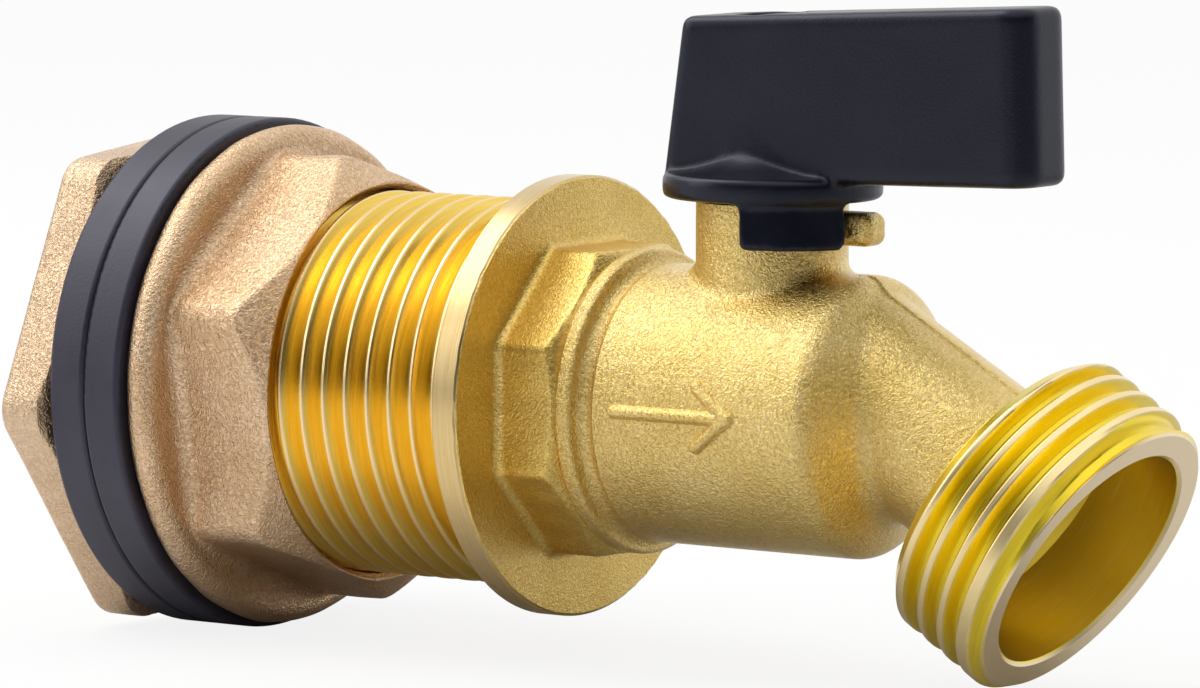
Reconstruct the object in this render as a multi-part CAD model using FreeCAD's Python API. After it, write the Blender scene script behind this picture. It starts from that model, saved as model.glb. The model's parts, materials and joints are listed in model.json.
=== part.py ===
import FreeCAD, Part
import math
import os

# Water butt tap: a tank connector that clamps through the wall of a butt, and a quarter-turn ball valve
# with a slanted hose spout screwed into it. Millimetres, degrees.
# The origin is on the connector's axis at the clamped wall, between the two washers.
# +X runs along the axis out of the butt, +Z runs up along the valve stem.

# Tank connector
tube_radius = 16.62
tube_length = 38.2
tube_lead_in = 1.3
tube_bore_radius = 11.2
tube_thread_pitch = 2.309
tube_thread_depth = 1.35
tube_thread_gap = 2.1
tube_crest_width = 0.3
tube_root_width = 0.32
head_across_flats = 41.0
head_thickness = 5.2
head_corner_round = 3.4
head_corner_angle = 54.0
head_rear_round = 0.8
head_front_chamfer = 1.2
inlet_thread_radius = 12.06
inlet_thread_depth = 14.0
inlet_lead_in = 1.2

# Washers
washer_radius = 22.45
washer_thickness = 3.75
washer_edge_round = 0.45

# Clamp nut
nut_flat_wall = 0.98
nut_length = 12.4
nut_corner_round = 2.4
nut_corner_angle = 21.0
nut_front_chamfer = 3.0
nut_face_wall = 0.88
nut_bore_chamfer = 0.6
flange_reach = 5.38
flange_thickness = 2.9
flange_rim_round = 1.5
nut_groove_wall = 0.78
nut_groove_width = 0.9
nut_groove_sag = 0.35

# Inlet tailpiece
spigot_radius = 13.1
spigot_length = 14.0
spigot_lead_in = 1.0
collar_radius = 18.85
collar_thickness = 2.6
collar_edge_break = 0.25
octagon_length = 5.8
octagon_corner_round = 0.9
octagon_front_chamfer = 0.9
octagon_flat_chamfer = 0.3
octagon_root_fillet = 0.8
joint_wall = 1.15
tailpiece_bore_radius = 6.4

# Valve body casting
rim_rise = 1.15
rim_length = 1.7
rim_edge_round = 0.45
rim_groove_depth = 0.25
rim_groove_length = 1.5
barrel_radius = 11.85
barrel_edge_round = 2.0
barrel_end_slope = 55.0
rim_to_stem = 13.3
stem_to_barrel_corner = 10.5
stem_to_elbow = 14.85
neck_radius = 6.4
neck_top = 17.6
neck_fillet = 1.4
lug_reach = 10.6
lug_width = 3.2
lug_height = 2.8
lug_below_neck_top = 0.55
lug_round = 0.95
spout_root_radius = 7.0
spout_end_radius = 7.7
spout_angle = 32.5
spout_length = 19.47
spout_overlap = 9.0
spout_fillet = 2.0
spout_bore_radius = 5.2
hose_thread_radius = 13.5
hose_thread_length = 9.9
hose_lead_in = 0.85
hose_rear_chamfer = 0.95
hose_root_fillet = 2.0
mouth_radius = 10.4
mouth_depth = 7.6
mouth_floor_cone = 3.0
mouth_edge_break = 0.3

# Ball, seats and stem
ball_wall = 3.1
ball_bore_wall = 3.0
ball_slot_width = 3.4
ball_slot_depth = 2.1
seat_wall = 2.25
seat_stem_gap = 1.1
stem_radius = 3.4
stem_shoulder_radius = 4.5
stem_shoulder_height = 1.4
stem_tang_length = 8.0
stem_flats = 4.6
stem_flats_height = 7.0
stem_hole_spare = 1.0
thrust_washer_thickness = 0.7
seal_section_radius = 0.5
lower_seal_rise = 1.7
seal_spacing = 2.5

# Lever handle
hub_radius = 9.2
hub_thickness = 2.1
hub_flare_height = 4.6
hub_flare_tuck = 0.06
hub_edge_round = 0.5
tab_outer_radius = 8.6
tab_height = 3.8
tab_corner_round = 0.6
tab_root_round = 0.6
lever_tip = 26.4
lever_tip_lean = 0.45
lever_root_width = 8.4
lever_tip_width = 7.5
lever_back_top = 6.6
lever_back_bottom = 8.6
lever_back_height = 13.0
lever_tip_height = 14.65
lever_tip_lift = 0.2
lever_sink = 1.0
lever_edge_round = 0.9
lever_tip_round = 2.4
lever_wall = 1.8
lever_rib = 1.3
lever_cells = 3

# Handle screw
screw_radius = 1.45
screw_length = 9.5
screw_head_radius = 2.7
screw_head_height = 2.2
screw_slot_width = 0.7
screw_slot_span = 3.2
screw_slot_depth = 1.1
screw_washer_thickness = 0.7
screw_washer_split = 0.5
screw_web = 2.4

# Clearances and travel
quarter_turn = 90.0
thread_clearance = 0.2
screwed_clearance = 0.08
running_clearance = 0.05
seal_clearance = 0.03
drive_clearance = 0.1
screw_clearance = 0.3
handle_clearance = 0.3
stop_clearance = 0.2

# Radii that follow the tube and the barrel
nut_across_flats = 2 * (tube_radius + nut_flat_wall)
nut_face_radius = tube_radius + nut_face_wall
nut_groove_radius = tube_radius + nut_groove_wall
flange_radius = tube_radius + flange_reach
rim_radius = barrel_radius + rim_rise
rim_groove_radius = barrel_radius - rim_groove_depth
octagon_across_flats = 2 * rim_radius
joint_thread_radius = barrel_radius - joint_wall
seat_radius = barrel_radius - seat_wall
ball_radius = barrel_radius - ball_wall
ball_bore_radius = ball_radius - ball_bore_wall

# Stations along X
head_front = -washer_thickness
head_back = head_front - head_thickness
tube_end = head_front + tube_length
nut_back = washer_thickness
nut_front = nut_back + nut_length
collar_front = tube_end + collar_thickness
joint_face = collar_front + octagon_length
stem_x = joint_face + rim_to_stem
barrel_corner = stem_x + stem_to_barrel_corner
seat_back = ball_radius + running_clearance
seat_front = stem_shoulder_radius + seat_stem_gap
tailpiece_nose = stem_x - seat_back
chamber_radius = seat_radius + screwed_clearance

# Heights along Z
hub_bottom = neck_top + handle_clearance
hub_top = hub_bottom + hub_thickness
ball_slot_floor = ball_radius - ball_slot_depth
shoulder_bottom = ball_radius + drive_clearance
shoulder_top = shoulder_bottom + stem_shoulder_height
thrust_top = shoulder_top + running_clearance + thrust_washer_thickness
flats_bottom = hub_bottom + handle_clearance
stem_top = flats_bottom + stem_flats_height
web_bottom = stem_top + drive_clearance
web_top = web_bottom + screw_web
screw_seat = web_top + screw_washer_thickness
stem_bore_radius = stem_radius + running_clearance
seal_circle_radius = stem_bore_radius - seal_clearance - seal_section_radius
lower_seal_height = thrust_top + lower_seal_rise
upper_seal_height = lower_seal_height + seal_spacing

# Directions and places on the spout
X_AXIS = FreeCAD.Vector(1, 0, 0)
Y_AXIS = FreeCAD.Vector(0, 1, 0)
Z_AXIS = FreeCAD.Vector(0, 0, 1)
ORIGIN = FreeCAD.Vector(0, 0, 0)
NEAR = 1e-4
slant = math.radians(spout_angle)
SPOUT_AXIS = FreeCAD.Vector(math.cos(slant), 0, -math.sin(slant))
elbow = FreeCAD.Vector(stem_x + stem_to_elbow, 0, 0)
hose_start = spout_length - hose_thread_length

# The tabs leave the lug and a quarter turn free between them
tab_inner_radius = neck_radius + handle_clearance
tab_margin = math.degrees(math.asin((lug_width / 2 + stop_clearance) / tab_inner_radius))
tab_span = 180 - quarter_turn - 2 * tab_margin


def at(x):
    """Point on the tap axis."""
    return FreeCAD.Vector(x, 0, 0)


def outline(start, *steps):
    """Closed wire in the XZ plane: a step is a point for a line, or a middle and an end for an arc."""
    def place(point):
        return FreeCAD.Vector(point[0], 0, point[1])

    edges = []
    here = start
    for step in steps + (start,):
        if isinstance(step[0], tuple):
            middle, end = step
            edges.append(Part.Arc(place(here), place(middle), place(end)).toShape())
        else:
            end = step
            edges.append(Part.LineSegment(place(here), place(end)).toShape())
        here = end
    return Part.Wire(edges)


def turned(axis, start, *steps):
    """Solid of revolution of an XZ outline about an axis through the origin."""
    return Part.Face(outline(start, *steps)).revolve(ORIGIN, axis, 360)


def bar(start, end, radius):
    """Cylinder along X between two stations."""
    return Part.makeCylinder(radius, end - start, FreeCAD.Vector(start, 0, 0), X_AXIS)


def post(bottom, top, radius):
    """Cylinder along the stem axis between two heights."""
    return Part.makeCylinder(radius, top - bottom, FreeCAD.Vector(stem_x, 0, bottom), Z_AXIS)


def on_spout(shape):
    """Shape drawn along X from the origin, moved to the elbow and tilted down along the spout."""
    return shape.rotated(ORIGIN, Y_AXIS, spout_angle).translated(elbow)


def on_stem(shape):
    """Shape drawn about the Z axis, moved onto the stem axis."""
    return shape.translated(at(stem_x))


def block(x_range, y_width, z_range):
    """Box across Y = 0, with X measured from the stem axis."""
    size = (x_range[1] - x_range[0], y_width, z_range[1] - z_range[0])
    return Part.makeBox(*size, FreeCAD.Vector(stem_x + x_range[0], -y_width / 2, z_range[0]))


def corner_radius(sides, across_flats):
    """Distance from the centre of a regular polygon to its sharp corners."""
    return across_flats / 2 / math.cos(math.pi / sides)


def wrench_prism(sides, across_flats, corner_round, first_corner, start, end):
    """Regular prism along X with rounded corners; angles run from -Y towards +Z."""
    reach = corner_radius(sides, across_flats)
    angles = [math.radians(first_corner + 360 * i / sides) for i in range(sides + 1)]
    corners = [FreeCAD.Vector(start, -reach * math.cos(a), reach * math.sin(a)) for a in angles]
    prism = Part.Face(Part.makePolygon(corners)).extrude(X_AXIS * (end - start))
    edges = [edge for edge in prism.Edges if abs(edge.tangentAt(edge.FirstParameter).x) > 1 - NEAR]
    return prism.makeFillet(corner_round, edges)


def ring_edges(shape, centre, radius):
    """Circular edges of one radius whose centre lies at a place."""
    circles = [edge for edge in shape.Edges if not edge.Degenerated and isinstance(edge.Curve, Part.Circle)]
    circles = [edge for edge in circles if abs(edge.Curve.Radius - radius) < NEAR]
    return [edge for edge in circles if edge.Curve.Center.distanceToPoint(centre) < NEAR]


def separate(edges):
    """Edges without the repeats that neighbouring faces bring."""
    kept = []
    for edge in edges:
        if not any(edge.isSame(other) for other in kept):
            kept.append(edge)
    return kept


def root_edges(shape, branch):
    """Edges where a round branch runs into the curved surface of the shape that it was fused to."""
    side = max(branch.Faces, key=lambda face: face.Area)
    edges = [edge for edge in shape.Edges if not edge.Degenerated]
    edges = [edge for edge in edges if not isinstance(edge.Curve, (Part.Line, Part.Circle))]
    samples = 5
    return [edge for edge in edges
            if all(side.distToShape(Part.Vertex(point))[0] < NEAR for point in edge.discretize(samples))]


def thread_ridges(start, end, radius, pitch, depth, crest, root):
    """Outline steps along a round bar with a V groove in every whole pitch between two stations."""
    half_top = (pitch - crest) / 2
    half_root = root / 2
    steps = []
    for turn in range(int((end - start) / pitch)):
        middle = start + pitch * (turn + 0.5)
        steps += [(middle - half_top, radius), (middle - half_root, radius - depth)]
        steps += [(middle + half_root, radius - depth), (middle + half_top, radius)]
    return steps


def make_bulkhead_body():
    """Hex head, threaded tube and through bore in one casting."""
    reach = corner_radius(6, head_across_flats)
    flat = head_across_flats / 2
    hexagon = wrench_prism(
        6, head_across_flats, head_corner_round, head_corner_angle, head_back, head_front)
    rear = [edge for edge in hexagon.Edges if edge.BoundBox.XMax < head_back + NEAR]
    head = hexagon.makeFillet(head_rear_round, rear).common(turned(
        X_AXIS, (head_back, 0), (head_back, reach), (head_front - head_front_chamfer, reach),
        (head_front, flat), (head_front, 0)))
    lead_in = tube_end - tube_lead_in
    ridges = thread_ridges(
        head_front + tube_thread_gap, lead_in, tube_radius, tube_thread_pitch, tube_thread_depth,
        tube_crest_width, tube_root_width)
    tube = turned(
        X_AXIS, (head_back, 0), (head_back, tube_radius), *ridges, (lead_in, tube_radius),
        (tube_end, tube_radius - tube_lead_in), (tube_end, 0))
    socket_radius = spigot_radius + screwed_clearance
    socket_floor = tube_end - spigot_length - spigot_lead_in
    inlet_floor = head_back + inlet_thread_depth
    bore = turned(
        X_AXIS, (head_back, 0), (head_back, inlet_thread_radius + inlet_lead_in),
        (head_back + inlet_lead_in, inlet_thread_radius), (inlet_floor, inlet_thread_radius),
        (inlet_floor + inlet_thread_radius - tube_bore_radius, tube_bore_radius),
        (socket_floor, tube_bore_radius), (socket_floor, socket_radius), (tube_end, socket_radius),
        (tube_end, 0))
    return head.fuse(tube).cut(bore).removeSplitter()


def make_washer(start):
    """Flat rubber ring that fits over the tube, with softened outer edges."""
    end = start + washer_thickness
    disc = bar(start, end, washer_radius)
    rims = ring_edges(disc, at(start), washer_radius) + ring_edges(disc, at(end), washer_radius)
    return disc.makeFillet(washer_edge_round, rims).cut(bar(start, end, tube_radius + thread_clearance))


def make_clamp_nut():
    """Hex nut with a round-rimmed flange and a groove between flange and hex."""
    reach = corner_radius(6, nut_across_flats)
    flange_front = nut_back + flange_thickness
    hex_back = flange_front + nut_groove_width
    front_round = flange_rim_round
    back_round = flange_thickness - flange_rim_round
    front_middle = front_round * math.sqrt(0.5)
    back_middle = back_round * math.sqrt(0.5)
    rim_x = flange_front - front_round
    rim_r = flange_radius - front_round
    back_r = flange_radius - back_round
    groove_middle = ((flange_front + hex_back) / 2 - nut_groove_sag, (rim_r + nut_groove_radius) / 2)
    flange = turned(
        X_AXIS, (nut_back, 0), (nut_back, back_r),
        ((rim_x - back_middle, back_r + back_middle), (rim_x, flange_radius)),
        ((rim_x + front_middle, rim_r + front_middle), (flange_front, rim_r)),
        (groove_middle, (hex_back, nut_groove_radius)), (hex_back, 0))
    hexagon = wrench_prism(6, nut_across_flats, nut_corner_round, nut_corner_angle, hex_back, nut_front)
    hexagon = hexagon.common(turned(
        X_AXIS, (hex_back, 0), (hex_back, reach), (nut_front - nut_front_chamfer, reach),
        (nut_front, nut_face_radius), (nut_front, 0)))
    bore_radius = tube_radius + thread_clearance
    bore = turned(
        X_AXIS, (nut_back, 0), (nut_back, bore_radius), (nut_front - nut_bore_chamfer, bore_radius),
        (nut_front, bore_radius + nut_bore_chamfer), (nut_front, 0))
    return flange.fuse(hexagon).cut(bore).removeSplitter()


def make_inlet_tailpiece():
    """Spigot, collar, octagon and valve thread on one through bore."""
    spigot_end = tube_end - spigot_length
    reach = corner_radius(8, octagon_across_flats)
    flat = octagon_across_flats / 2
    spigot = turned(
        X_AXIS, (spigot_end, 0), (spigot_end, spigot_radius - spigot_lead_in),
        (spigot_end + spigot_lead_in, spigot_radius), (tube_end, spigot_radius), (tube_end, 0))
    collar = bar(tube_end, collar_front, collar_radius)
    rims = [edge for x in (tube_end, collar_front) for edge in ring_edges(collar, at(x), collar_radius)]
    collar = collar.makeChamfer(collar_edge_break, rims)
    octagon = wrench_prism(8, octagon_across_flats, octagon_corner_round, 180 / 8, collar_front, joint_face)
    octagon = octagon.common(turned(
        X_AXIS, (collar_front, 0), (collar_front, reach), (joint_face - octagon_front_chamfer, reach),
        (joint_face, flat - octagon_flat_chamfer), (joint_face, 0)))
    blank = collar.fuse(octagon)
    roots = [edge for edge in blank.Edges
             if edge.BoundBox.XLength < NEAR and abs(edge.BoundBox.XMin - collar_front) < NEAR
             and edge.distToShape(Part.Vertex(at(collar_front)))[0] < reach]
    blank = blank.makeFillet(octagon_root_fillet, roots)
    thread = bar(joint_face, tailpiece_nose, joint_thread_radius)
    bore = bar(spigot_end, tailpiece_nose, tailpiece_bore_radius)
    return blank.fuse([spigot, thread]).cut(bore).removeSplitter()


def barrel_blank():
    """Rim, groove, barrel and blunt cone of the casting, turned about the tap axis."""
    rim_end = joint_face + rim_length
    groove_end = rim_end + rim_groove_length
    slope = math.radians(barrel_end_slope)
    edge_x = barrel_corner - barrel_edge_round * math.tan(slope / 2)
    edge_z = barrel_radius - barrel_edge_round

    def on_edge(angle):
        return edge_x + barrel_edge_round * math.sin(angle), edge_z + barrel_edge_round * math.cos(angle)

    blank = turned(
        X_AXIS, (joint_face, 0), (joint_face, rim_radius), (rim_end, rim_radius),
        ((rim_end + rim_groove_length / 2, rim_groove_radius), (groove_end, barrel_radius)),
        (edge_x, barrel_radius), (on_edge(slope / 2), on_edge(slope)),
        (barrel_corner + barrel_radius / math.tan(slope), 0))
    rims = ring_edges(blank, at(joint_face), rim_radius) + ring_edges(blank, at(rim_end), rim_radius)
    return blank.makeFillet(rim_edge_round, rims)


def stop_lug():
    """Round-ended lug on the neck that the handle's tabs stop against."""
    top = neck_top - lug_below_neck_top
    lug = block((0, lug_reach), lug_width, (top - lug_height, top))
    outer = [edge for edge in lug.Edges if edge.CenterOfMass.x - stem_x > NEAR]
    return lug.makeFillet(lug_round, outer)


def spout_tube():
    """Slightly flared tube that starts inside the barrel and leaves through its cone."""
    return Part.makeCone(
        spout_root_radius, spout_end_radius, hose_start + spout_overlap, elbow - SPOUT_AXIS * spout_overlap,
        SPOUT_AXIS)


def hose_end():
    """Collar that carries the hose thread, drawn along X from the elbow."""
    rear = hose_thread_radius - hose_rear_chamfer
    front = hose_thread_radius - hose_lead_in
    return turned(
        X_AXIS, (hose_start, 0), (hose_start, rear), (hose_start + hose_rear_chamfer, hose_thread_radius),
        (spout_length - hose_lead_in, hose_thread_radius), (spout_length, front), (spout_length, 0))


def outlet_bore():
    """Waterway of the spout and the wide mouth, drawn along X from the elbow."""
    floor = spout_length - mouth_depth
    return turned(
        X_AXIS, (0, 0), (0, spout_bore_radius), (floor - mouth_floor_cone, spout_bore_radius),
        (floor, mouth_radius), (spout_length - mouth_edge_break, mouth_radius),
        (spout_length, mouth_radius + mouth_edge_break), (spout_length, 0))


def make_valve_body():
    """Cast body: barrel, neck with stop lug, slanted spout and hose end, with the waterway cut through."""
    neck = post(0, neck_top, neck_radius)
    body = barrel_blank().fuse(neck).removeSplitter()
    body = body.makeFillet(neck_fillet, root_edges(body, neck))
    spout = spout_tube()
    body = body.fuse(spout).removeSplitter()
    body = body.makeFillet(spout_fillet, root_edges(body, spout))
    body = body.fuse([on_spout(hose_end()), stop_lug()]).removeSplitter()
    hose_root = ring_edges(body, elbow + SPOUT_AXIS * hose_start, spout_end_radius)
    body = body.makeFillet(hose_root_fillet, hose_root)
    chamber = bar(joint_face, stem_x + seat_back, chamber_radius)
    joint_thread = bar(joint_face, tailpiece_nose, joint_thread_radius + screwed_clearance)
    outlet = bar(stem_x, elbow.x, spout_bore_radius)
    turn = Part.makeSphere(spout_bore_radius, elbow)
    stem_pocket = post(0, thrust_top, stem_shoulder_radius + running_clearance)
    stem_bore = post(0, neck_top, stem_bore_radius)
    return body.cut([chamber, joint_thread, outlet, turn, on_spout(outlet_bore()), stem_pocket, stem_bore])


def make_ball():
    """Bored ball with a slot across its top for the stem's tang."""
    ball = Part.makeSphere(ball_radius, at(stem_x))
    past = 2 * ball_radius
    bore = bar(stem_x - past, stem_x + past, ball_bore_radius)
    half = ball_slot_width / 2
    slot = block((-half, half), 2 * past, (ball_slot_floor, past))
    return ball.cut([bore, slot])


def make_seat(side):
    """Sealing ring hollowed to the ball; side is 1 towards the outlet and -1 towards the inlet."""
    ends = sorted((stem_x + side * seat_front, stem_x + side * seat_back))
    hollow = Part.makeSphere(ball_radius + running_clearance, at(stem_x))
    return bar(*ends, seat_radius).cut([bar(*ends, ball_bore_radius), hollow])


def make_stem():
    """Stem with tang, shoulder, two seal grooves, flats for the handle and a tapped hole."""
    tang_half = ball_slot_width / 2 - drive_clearance
    tang_bottom = ball_slot_floor + drive_clearance
    tang = block((-tang_half, tang_half), stem_tang_length, (tang_bottom, shoulder_bottom))
    tang = tang.common(post(0, shoulder_bottom, stem_tang_length / 2))
    shoulder = post(shoulder_bottom, shoulder_top, stem_shoulder_radius)
    shaft = post(shoulder_top, stem_top, stem_radius)
    width = 2 * stem_radius
    flats = [block((-width, width), width, (flats_bottom, stem_top)).translated(Y_AXIS * side)
             for side in (stem_flats / 2 + stem_radius, -stem_flats / 2 - stem_radius)]
    half_groove = seal_section_radius + seal_clearance
    groove_floor = seal_circle_radius - seal_section_radius - seal_clearance
    grooves = [post(height - half_groove, height + half_groove, stem_radius).cut(
                   post(height - half_groove, height + half_groove, groove_floor))
               for height in (lower_seal_height, upper_seal_height)]
    hole = post(screw_seat - screw_length - stem_hole_spare, stem_top, screw_radius + running_clearance)
    return tang.fuse([shoulder, shaft]).cut(flats + grooves + [hole]).removeSplitter()


def make_stem_seal(height):
    """Rubber ring in one of the stem's grooves."""
    centre = FreeCAD.Vector(stem_x, 0, height)
    return Part.makeTorus(seal_circle_radius, seal_section_radius, centre, Z_AXIS)


def make_thrust_washer():
    """Flat ring between the stem's shoulder and the top of its pocket."""
    bottom = thrust_top - thrust_washer_thickness
    return post(bottom, thrust_top, stem_shoulder_radius).cut(post(bottom, thrust_top, stem_bore_radius))


def lever_blank():
    """Lever slab that rises and narrows towards its tip, with rounded edges, drawn about the Z axis."""
    bottom = hub_top - lever_sink
    side = Part.Face(outline(
        (-lever_back_bottom, bottom), (-lever_back_top, hub_top + lever_back_height),
        (lever_tip, hub_top + lever_tip_height), (lever_tip + lever_tip_lean, hub_top + lever_tip_lift)))
    slab = side.extrude(Y_AXIS * lever_root_width).translated(Y_AXIS * (-lever_root_width / 2))
    tip = lever_tip + lever_tip_lean
    corners = [(-lever_back_bottom, -lever_root_width / 2), (tip, -lever_tip_width / 2),
               (tip, lever_tip_width / 2), (-lever_back_bottom, lever_root_width / 2)]
    corners = [FreeCAD.Vector(x, y, bottom) for x, y in corners + corners[:1]]
    plan = Part.Face(Part.makePolygon(corners)).extrude(Z_AXIS * (lever_sink + lever_tip_height))
    lever = slab.common(plan)
    tip_face = max(lever.Faces, key=lambda face: face.CenterOfMass.x)
    upright = [edge for edge in tip_face.Edges if edge.BoundBox.ZLength > edge.BoundBox.YLength]
    lever = lever.makeFillet(lever_tip_round, upright)
    rims = [max(lever.Faces, key=lambda face: face.CenterOfMass.z),
            min(lever.Faces, key=lambda face: face.CenterOfMass.z),
            min(lever.Faces, key=lambda face: face.CenterOfMass.x)]
    return lever.makeFillet(lever_edge_round, separate(edge for face in rims for edge in face.Edges))


def lever_hub():
    """Hub disc with a flare that runs up into the lever's sides, drawn about the Z axis."""
    flare_top = hub_top + hub_flare_height
    narrowing = (lever_root_width - lever_tip_width) / (lever_back_bottom + lever_tip + lever_tip_lean)
    waist = (lever_root_width - narrowing * lever_back_bottom) / 2 - hub_flare_tuck
    half = math.sqrt(0.5)
    middle = (hub_radius - (hub_radius - waist) * half, flare_top - hub_flare_height * half)
    hub = turned(Z_AXIS, (0, hub_bottom), (hub_radius, hub_bottom), (hub_radius, hub_top),
                 (middle, (waist, flare_top)), (0, flare_top))
    centres = [FreeCAD.Vector(0, 0, height) for height in (hub_bottom, hub_top)]
    rims = [edge for centre in centres for edge in ring_edges(hub, centre, hub_radius)]
    return hub.makeFillet(hub_edge_round, rims)


def stop_tab(first_angle):
    """Skirt segment under the hub that meets the stop lug, drawn about the Z axis."""
    bottom = hub_bottom - tab_height
    section = Part.Face(outline(
        (tab_inner_radius, bottom), (tab_outer_radius, bottom), (tab_outer_radius, hub_top),
        (tab_inner_radius, hub_top)))
    tab = section.rotated(ORIGIN, Z_AXIS, first_angle).revolve(ORIGIN, Z_AXIS, tab_span)
    corners = [edge for edge in tab.Edges
               if isinstance(edge.Curve, Part.Line) and abs(edge.CenterOfMass.z - bottom) < NEAR]
    return tab.makeFillet(tab_corner_round, corners)


def lever_cells_below():
    """Moulding cores that hollow the lever from below, with ribs left between them."""
    start = hub_radius + lever_rib
    length = (lever_tip - lever_wall - start - (lever_cells - 1) * lever_rib) / lever_cells
    top = hub_top + lever_back_height - lever_wall
    width = lever_tip_width - 2 * lever_wall
    starts = [start + i * (length + lever_rib) for i in range(lever_cells)]
    return [block((x, x + length), width, (hub_bottom, top)) for x in starts]


def make_lever_handle():
    """Moulded lever with hub, stop tabs, stem socket and screw well."""
    tabs = [stop_tab(-tab_margin - tab_span + turn) for turn in (0, 180)]
    hub = lever_hub().fuse(tabs).removeSplitter()
    roots = [edge for edge in hub.Edges if isinstance(edge.Curve, Part.Line)]
    roots = [edge for edge in roots if max(abs(vertex.Z - hub_bottom) for vertex in edge.Vertexes) < NEAR]
    handle = on_stem(lever_blank().fuse(hub.makeFillet(tab_root_round, roots)).removeSplitter())
    recess = post(hub_bottom, flats_bottom, stem_radius + drive_clearance)
    socket = post(hub_bottom, web_bottom, stem_radius + drive_clearance).common(
        block((-hub_radius, hub_radius), stem_flats + 2 * drive_clearance, (hub_bottom, web_bottom)))
    hole = post(web_bottom, web_top, screw_radius + screw_clearance)
    well = post(web_top, hub_top + lever_tip_height, screw_head_radius + screw_clearance)
    return handle.cut([recess, socket, hole, well] + lever_cells_below()).removeSplitter()


def make_handle_screw():
    """Cross-slotted screw that holds the handle on the stem."""
    head_top = screw_seat + screw_head_height
    screw = post(screw_seat, head_top, screw_head_radius).fuse(
        post(screw_seat - screw_length, screw_seat, screw_radius))
    half = screw_slot_span / 2
    slot = block((-half, half), screw_slot_width, (head_top - screw_slot_depth, head_top))
    cross = slot.rotated(at(stem_x), Z_AXIS, 90)
    return screw.cut([slot, cross])


def make_screw_washer():
    """Split spring washer under the screw's head."""
    hole = post(web_top, screw_seat, screw_radius + drive_clearance)
    ring = post(web_top, screw_seat, screw_head_radius).cut(hole)
    return ring.cut(block((0, screw_head_radius), screw_washer_split, (web_top, screw_seat)))


pieces = {
    "bulkhead_body": make_bulkhead_body(),
    "inner_washer": make_washer(head_front),
    "outer_washer": make_washer(0),
    "clamp_nut": make_clamp_nut(),
    "inlet_tailpiece": make_inlet_tailpiece(),
    "valve_body": make_valve_body(),
    "ball": make_ball(),
    "inlet_seat": make_seat(-1),
    "outlet_seat": make_seat(1),
    "stem": make_stem(),
    "lower_stem_seal": make_stem_seal(lower_seal_height),
    "upper_stem_seal": make_stem_seal(upper_seal_height),
    "thrust_washer": make_thrust_washer(),
    "lever_handle": make_lever_handle(),
    "handle_screw": make_handle_screw(),
    "screw_washer": make_screw_washer(),
}

os.makedirs("parts", exist_ok=True)
for name, shape in pieces.items():
    shape.exportStep(os.path.join("parts", name + ".step"))
    print(name, "solids", len(shape.Solids), "volume", round(shape.Volume, 1))
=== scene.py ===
import json
import math

import bmesh
import bpy
import numpy as np
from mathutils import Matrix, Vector

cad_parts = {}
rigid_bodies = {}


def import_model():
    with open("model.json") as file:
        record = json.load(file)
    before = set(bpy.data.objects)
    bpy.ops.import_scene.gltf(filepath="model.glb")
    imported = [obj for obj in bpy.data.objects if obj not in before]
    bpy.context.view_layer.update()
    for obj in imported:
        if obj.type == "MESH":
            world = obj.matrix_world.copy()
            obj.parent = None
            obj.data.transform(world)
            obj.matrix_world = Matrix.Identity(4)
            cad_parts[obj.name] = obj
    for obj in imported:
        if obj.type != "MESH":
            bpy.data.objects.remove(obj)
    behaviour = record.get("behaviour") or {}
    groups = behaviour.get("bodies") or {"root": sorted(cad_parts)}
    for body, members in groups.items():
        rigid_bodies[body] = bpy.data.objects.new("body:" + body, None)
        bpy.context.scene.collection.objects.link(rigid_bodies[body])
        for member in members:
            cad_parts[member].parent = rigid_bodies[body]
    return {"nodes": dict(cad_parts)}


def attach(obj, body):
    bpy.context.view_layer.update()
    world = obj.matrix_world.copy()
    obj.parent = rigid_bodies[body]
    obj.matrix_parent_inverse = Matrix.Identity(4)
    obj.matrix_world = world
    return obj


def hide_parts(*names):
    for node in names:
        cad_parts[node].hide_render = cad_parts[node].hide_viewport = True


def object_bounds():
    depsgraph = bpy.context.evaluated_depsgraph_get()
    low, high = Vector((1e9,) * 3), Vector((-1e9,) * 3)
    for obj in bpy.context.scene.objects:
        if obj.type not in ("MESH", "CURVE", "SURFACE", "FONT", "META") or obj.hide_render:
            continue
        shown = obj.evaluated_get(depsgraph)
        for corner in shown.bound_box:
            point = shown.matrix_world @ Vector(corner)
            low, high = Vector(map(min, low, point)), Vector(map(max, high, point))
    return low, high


# Water butt tap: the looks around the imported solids. Shapes are worked out in millimetres, in the frame of
# the solids, and stored in metres. Angles around the connector run from -Y towards +Z.

for leftover in list(bpy.data.objects):
    bpy.data.objects.remove(leftover)
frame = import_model()
cad_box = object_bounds()
nodes = frame["nodes"]
MM = 0.001
WELD, SLIVER = 1e-6, 1e-7

# Connector
head_back, head_front = -8.95, -3.75
head_across_flats, head_corner_round, head_first_corner = 41.0, 3.4, math.radians(54.0)
head_rear_round, head_front_chamfer, head_edge_soft = 0.8, 1.2, 0.06
head_back_ring, head_back_inset, head_front_ring = 15.0, 2.0, 18.5
tube_radius, tube_end, tube_lead_in = 16.62, 34.45, 1.3
tube_pitch, tube_thread_depth, tube_crest, tube_root = 2.309, 1.42, 0.09, 0.12
tube_first_crest = head_front - 0.21
socket_radius, socket_floor, tube_bore_radius = 13.18, 19.45, 11.2
inlet_radius, inlet_lead_in, inlet_floor = 12.06, 1.2, 5.05
inlet_pitch, inlet_thread_depth, inlet_crest, inlet_steps = 1.814, 0.95, 0.2, 10
thread_fade = 1.5

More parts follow.
